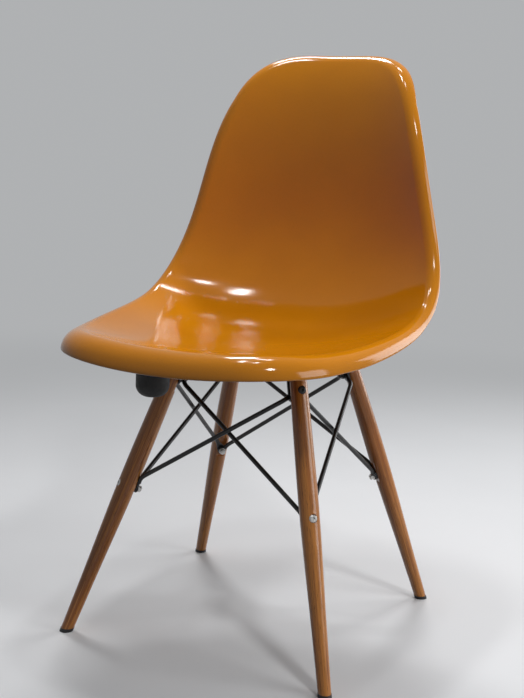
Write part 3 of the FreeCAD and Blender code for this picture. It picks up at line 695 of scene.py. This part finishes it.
def lofted(name, rings):
    """Closed mesh through rings of points."""
    grid = np.array(rings)
    grid = np.concatenate([grid, grid[:, :1]], axis=1)
    mesh = mesh_from_grids(name, [(grid, False)], weld=0.001 * MM)
    work = bmesh.new()
    work.from_mesh(mesh)
    bmesh.ops.holes_fill(work, edges=[edge for edge in work.edges if edge.is_boundary])
    bmesh.ops.recalc_face_normals(work, faces=work.faces)
    work.to_mesh(mesh)
    work.free()
    return mesh


def round_plate(name, middle, out, radius, thickness, round_over, count=64, rim_rings=4):
    """Closed round plate about a middle, square to out, with rounded rims."""
    side = unit(np.cross(out, [0.0, 0.0, 1.0]))
    up = np.cross(out, side)
    turn = np.linspace(0, 2 * np.pi, count, endpoint=False)[:, None]
    rings = []
    for sign in (-1, 1):
        for bow in np.linspace(0, math.pi / 2, rim_rings)[::sign]:
            reach = radius - round_over * (1 - math.cos(bow))
            centre = middle + out * sign * (thickness / 2 - round_over * (1 - math.sin(bow)))
            rings.append(centre + (np.cos(turn) * side + np.sin(turn) * up) * reach)
    return lofted(name, rings)


def combine(base, tool_mesh, way):
    """Join a mesh to an object, or cut it away."""
    tool = add_object("tool", tool_mesh)
    step = base.modifiers.new("step", "BOOLEAN")
    step.operation, step.object, step.solver = way, tool, "EXACT"
    bpy.context.view_layer.update()
    shaped = base.evaluated_get(bpy.context.evaluated_depsgraph_get())
    mesh = bpy.data.meshes.new_from_object(shaped)
    base.modifiers.remove(step)
    base.data = mesh
    bpy.data.objects.remove(tool)


def smooth_step(share):
    """Share eased at both ends."""
    share = min(max(share, 0.0), 1.0)
    return share * share * (3 - 2 * share)


def hammered_end(middle, out, towards, run, reach, offset, sizes):
    """Places from a rod's eye to its wire: a flat tongue that swells and bends away."""
    eye, wire = sizes.eye_diameter / 2, sizes.rod_diameter / 2
    thin = sizes.eye_thickness / 2 * TONGUE_THINNING
    tilt = math.acos((eye - wire) / reach)
    mouth = eye * math.cos(tilt)
    places = []
    for share in np.linspace(0, 1, TONGUE_RINGS):
        along = mouth + (reach - BEND_LENGTH - mouth) * share
        swell = smooth_step((share - SWELL_START) / (1 - SWELL_START))
        taper = (along - mouth) / (reach + wire * math.cos(tilt) - mouth)
        width = max(eye + (wire - eye) * taper, wire) * math.sin(tilt)
        width += (wire - width) * swell
        height = thin + (wire - thin) * swell
        centre = middle + towards * along - out * offset * swell
        power = TONGUE_SQUARENESS + (ROUND - TONGUE_SQUARENESS) * swell
        places.append((centre, towards, out, width, height, power))
    joint = middle + towards * reach - out * offset
    for share in np.linspace(0, 1, BEND_RINGS)[1:]:
        centre = joint + (run * share ** 2 - towards * (1 - share) ** 2) * BEND_LENGTH
        direction = unit(towards * (1 - share) + run * share)
        places.append((centre, direction, out, wire, wire, ROUND))
    return places


def rod_places(middles, outs, reach, offset, sizes):
    """Places along a rod from one eye to the other."""
    towards, joints = [], []
    for middle, target, out in zip(middles, middles[::-1], outs):
        way = target - middle
        towards.append(unit(way - out * np.dot(way, out)))
        joints.append(middle + towards[-1] * reach - out * offset)
    run = unit(joints[1] - joints[0])
    first, last = (hammered_end(middle, out, way, going, reach, offset, sizes)
                   for middle, out, way, going in zip(middles, outs, towards, (run, -run)))
    start, end = first[-1][0], last[-1][0]
    sign = 1.0 if np.dot(outs[0], outs[1]) > 0 else -1.0
    places = list(first)
    for share in np.linspace(0, 1, WIRE_RINGS)[1:-1]:
        flat = outs[0] * (1 - share) + outs[1] * sign * share
        places.append((start + (end - start) * share, run, flat, *first[-1][3:]))
    for centre, direction, out, *shape in reversed(last):
        places.append((centre, -direction, out * sign, *shape))
    return places


def rod_eye(corner, height, depth, layer, sizes):
    """Middle of a rod's eye on the bolt at a height, and the way out through the leg."""
    leg, lean = leg_frame(corner, sizes)
    inward = depth + (layer + 0.5) * sizes.eye_thickness
    return leg @ Vector((-inward, 0, height / math.cos(lean))), leg.to_3x3() @ Vector((1, 0, 0))


def make_rod(name, node, eyes, reach, offset, sizes, finish):
    """One brace rod, in place of its CAD node: a round wire with hammered, holed ends."""
    middles, outs = (np.array(part) for part in zip(*eyes))
    rings = [round_section(place) for place in rod_places(middles, outs, reach, offset, sizes)]
    piece = add_piece(name, lofted(name, rings), node, finish)
    for middle, out in zip(middles, outs):
        eye = round_plate("eye", middle, out, sizes.eye_diameter / 2, sizes.eye_thickness,
                          EYE_ROUND_OVER)
        combine(piece, eye, "UNION")
        hole = round_plate("hole", middle, out, sizes.hole_diameter / 2,
                           3 * sizes.eye_thickness, HOLE_ROUND_OVER, HOLE_SIDES)
        combine(piece, hole, "DIFFERENCE")
    piece.data.shade_smooth()
    piece.data.set_sharp_from_angle(angle=SHARP_ANGLE)


class CHAIR_OT_seat_shell(Operator):
    """Mould the shell: dish, rolled lip and rounded edge"""
    bl_idname = "chair.seat_shell"
    bl_label = "Seat shell"

    def execute(self, context):
        sizes = context.scene.chair_shell
        mesh = mesh_from_grids("moulded_shell", ShellForm(sizes).grids())
        add_piece("moulded_shell", mesh, "seat_shell", gloss_plastic(sizes))
        return {"FINISHED"}


class CHAIR_OT_legs(Operator):
    """Give each turned leg wood with its grain along it"""
    bl_idname = "chair.legs"
    bl_label = "Legs"

    def execute(self, context):
        sizes = context.scene.chair_base
        for seed, corner in enumerate(CORNERS, start=1):
            leg, _ = leg_frame(corner, sizes)
            give_finish(corner + "_leg", oiled_wood("wood_" + corner, sizes, leg, seed))
        return {"FINISHED"}


class CHAIR_OT_brace_rods(Operator):
    """Hammer and fit the eight brace rods"""
    bl_idname = "chair.brace_rods"
    bl_label = "Brace rods"

    def execute(self, context):
        sizes = context.scene.chair_base
        finish = painted_steel("rod_paint", sizes.steel_black)
        aside = (sizes.rod_diameter - sizes.eye_thickness) / 2
        for index, corner in enumerate(CORNER_ORDER):
            for step, layer, reach, offset in ((1, 0, sizes.outer_reach, 0.0),
                                               (-1, 1, sizes.inner_reach, aside)):
                neighbour = CORNER_ORDER[(index + step) % len(CORNER_ORDER)]
                eyes = (rod_eye(corner, sizes.mid_bolt_height, sizes.mid_tab_depth, layer, sizes),
                        rod_eye(neighbour, sizes.top_bolt_height, sizes.top_tab_depth, layer,
                                sizes))
                ends = corner + "_to_" + neighbour
                make_rod("rod_" + ends, "brace_rod_" + ends, eyes, reach, offset, sizes, finish)
        return {"FINISHED"}


class CHAIR_OT_brackets(Operator):
    """Paint the brackets that carry the seat"""
    bl_idname = "chair.brackets"
    bl_label = "Brackets"

    def execute(self, context):
        finish = painted_steel("bracket_paint", context.scene.chair_base.steel_black, 0.4)
        for corner in CORNERS:
            give_finish(corner + "_bracket", finish)
        return {"FINISHED"}


class CHAIR_OT_fasteners(Operator):
    """Finish the bolts, nuts, washers, screws, inserts and nails"""
    bl_idname = "chair.fasteners"
    bl_label = "Fasteners"

    def execute(self, context):
        sizes = context.scene.chair_base
        black = painted_steel("fastener_black", sizes.steel_black, 0.3)
        bright = bright_steel(sizes.steel_bright)
        for node in ("top_bolts", "top_nuts", "top_washers", "mount_screws", "mount_washers"):
            give_finish(node, black)
        for node in ("mid_bolts", "mid_nuts", "mid_washers", "mount_inserts", "glide_nails"):
            give_finish(node, bright)
        return {"FINISHED"}


class CHAIR_OT_mounts(Operator):
    """Finish the rubber mounts and the bumper"""
    bl_idname = "chair.mounts"
    bl_label = "Mounts and bumper"

    def execute(self, context):
        finish = moulded_rubber(context.scene.chair_base.rubber)
        for corner in CORNERS:
            give_finish(corner + "_shock_mount", finish)
        give_finish("seat_bumper", finish)
        return {"FINISHED"}


class CHAIR_OT_glides(Operator):
    """Finish the glides under the feet"""
    bl_idname = "chair.glides"
    bl_label = "Glides"

    def execute(self, context):
        finish = glide_plastic(context.scene.chair_base.rubber)
        for corner in CORNERS:
            give_finish(corner + "_glide", finish)
        return {"FINISHED"}


def add_lamp(name, place, target, power, size):
    """Soft rectangular lamp that shines on a target and is hidden from the camera."""
    data = bpy.data.lights.new(name, "AREA")
    data.shape, data.energy = "RECTANGLE", power
    data.size, data.size_y = size
    lamp = add_object(name, data)
    lamp.location = place
    lamp.rotation_mode = "QUATERNION"
    lamp.rotation_quaternion = (Vector(target) - Vector(place)).to_track_quat("-Z", "Y")
    lamp.visible_camera = False


def floor_mesh(radius=6.0, first_share=0.01, crowding=1.5, rings=24, spokes=96):
    """Round floor, whose rings crowd towards its middle."""
    reach = radius * np.linspace(first_share, 1, rings + 1) ** crowding
    turn = np.linspace(0, 2 * np.pi, spokes + 1)
    grid = np.stack([np.outer(reach, np.cos(turn)), np.outer(reach, np.sin(turn)),
                     np.zeros((rings + 1, spokes + 1))], axis=-1)
    middle = np.zeros((1, spokes + 1, 3))
    return mesh_from_grids("floor", [(np.concatenate([middle, grid]), False)])


def soft_sky(settings):
    """Even light from all round, which shows paler than it lights."""
    world = bpy.data.worlds.new("soft_sky")
    world.use_nodes = True
    tree = world.node_tree
    sky = tree.nodes["Background"]
    sky.inputs["Color"].default_value = (*settings.sky_colour, 1.0)
    level = tree.nodes.new("ShaderNodeMapRange")
    level.inputs["To Min"].default_value = settings.sky_strength
    level.inputs["To Max"].default_value = settings.sky_shown
    tree.links.new(visible_rays(tree), level.inputs["Value"])
    tree.links.new(level.outputs["Result"], sky.inputs["Strength"])
    return world


def add_camera(settings):
    """Camera at the front right, a little above the seat."""
    azimuth, elevation = settings.camera_azimuth, settings.camera_elevation
    back = Vector((math.sin(azimuth) * math.cos(elevation),
                   -math.cos(azimuth) * math.cos(elevation), math.sin(elevation)))
    right = Vector((math.cos(azimuth), math.sin(azimuth), 0))
    up = back.cross(right)
    turned = Matrix((right, up, back)).transposed() @ Matrix.Rotation(
        settings.camera_roll, 3, "Z")
    lens = bpy.data.cameras.new("camera")
    lens.sensor_width, lens.lens = SENSOR_WIDTH, settings.camera_lens
    camera = add_object("camera", lens)
    camera.matrix_world = Matrix.Translation(settings.camera_place) @ turned.to_4x4()
    return camera


class CHAIR_OT_studio(Operator):
    """Set the floor, the lamps and the camera"""
    bl_idname = "chair.studio"
    bl_label = "Studio"

    def execute(self, context):
        scene, settings = context.scene, context.scene.chair_studio
        floor = add_object("floor", floor_mesh())
        floor.data.materials.append(studio_floor(settings))
        for name, place, size, share in TOP_LAMPS:
            add_lamp(name, place, TOP_LAMP_TARGET, settings.top_power * share, size)
        for name, place, size, share in SIDE_PANELS:
            add_lamp(name, place, SIDE_PANEL_TARGET, settings.side_power * share, size)
        scene.world = soft_sky(settings)
        scene.view_settings.view_transform = "Standard"
        scene.camera = add_camera(settings)
        return {"FINISHED"}


STEPS = (CHAIR_OT_seat_shell, CHAIR_OT_legs, CHAIR_OT_brace_rods, CHAIR_OT_brackets,
         CHAIR_OT_fasteners, CHAIR_OT_mounts, CHAIR_OT_glides, CHAIR_OT_studio)


class CHAIR_PT_panel(Panel):
    """Steps and settings of the chair"""
    bl_label = "Moulded shell chair"
    bl_idname = "CHAIR_PT_panel"
    bl_space_type = "VIEW_3D"
    bl_region_type = "UI"
    bl_category = "Chair"

    def draw(self, context):
        for step in STEPS:
            self.layout.operator(step.bl_idname)
        for group in (context.scene.chair_shell, context.scene.chair_base,
                      context.scene.chair_studio):
            box = self.layout.box()
            for name in group.bl_rna.properties.keys():
                if name not in ("rna_type", "name"):
                    box.prop(group, name)


CLASSES = (ShellSizes, BaseSizes, StudioSettings, *STEPS, CHAIR_PT_panel)


def register():
    """Register the classes and give the scene its settings."""
    for kind in CLASSES:
        bpy.utils.register_class(kind)
    Scene.chair_shell = PointerProperty(type=ShellSizes)
    Scene.chair_base = PointerProperty(type=BaseSizes)
    Scene.chair_studio = PointerProperty(type=StudioSettings)


def unregister():
    """Take the settings and the classes away."""
    for name in ("chair_studio", "chair_base", "chair_shell"):
        delattr(Scene, name)
    for kind in reversed(CLASSES):
        bpy.utils.unregister_class(kind)


def main():
    """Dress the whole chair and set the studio."""
    register()
    bpy.ops.chair.seat_shell()
    bpy.ops.chair.legs()
    bpy.ops.chair.brace_rods()
    bpy.ops.chair.brackets()
    bpy.ops.chair.fasteners()
    bpy.ops.chair.mounts()
    bpy.ops.chair.glides()
    bpy.ops.chair.studio()
    bpy.context.view_layer.update()


if __name__ == "__main__":
    main()
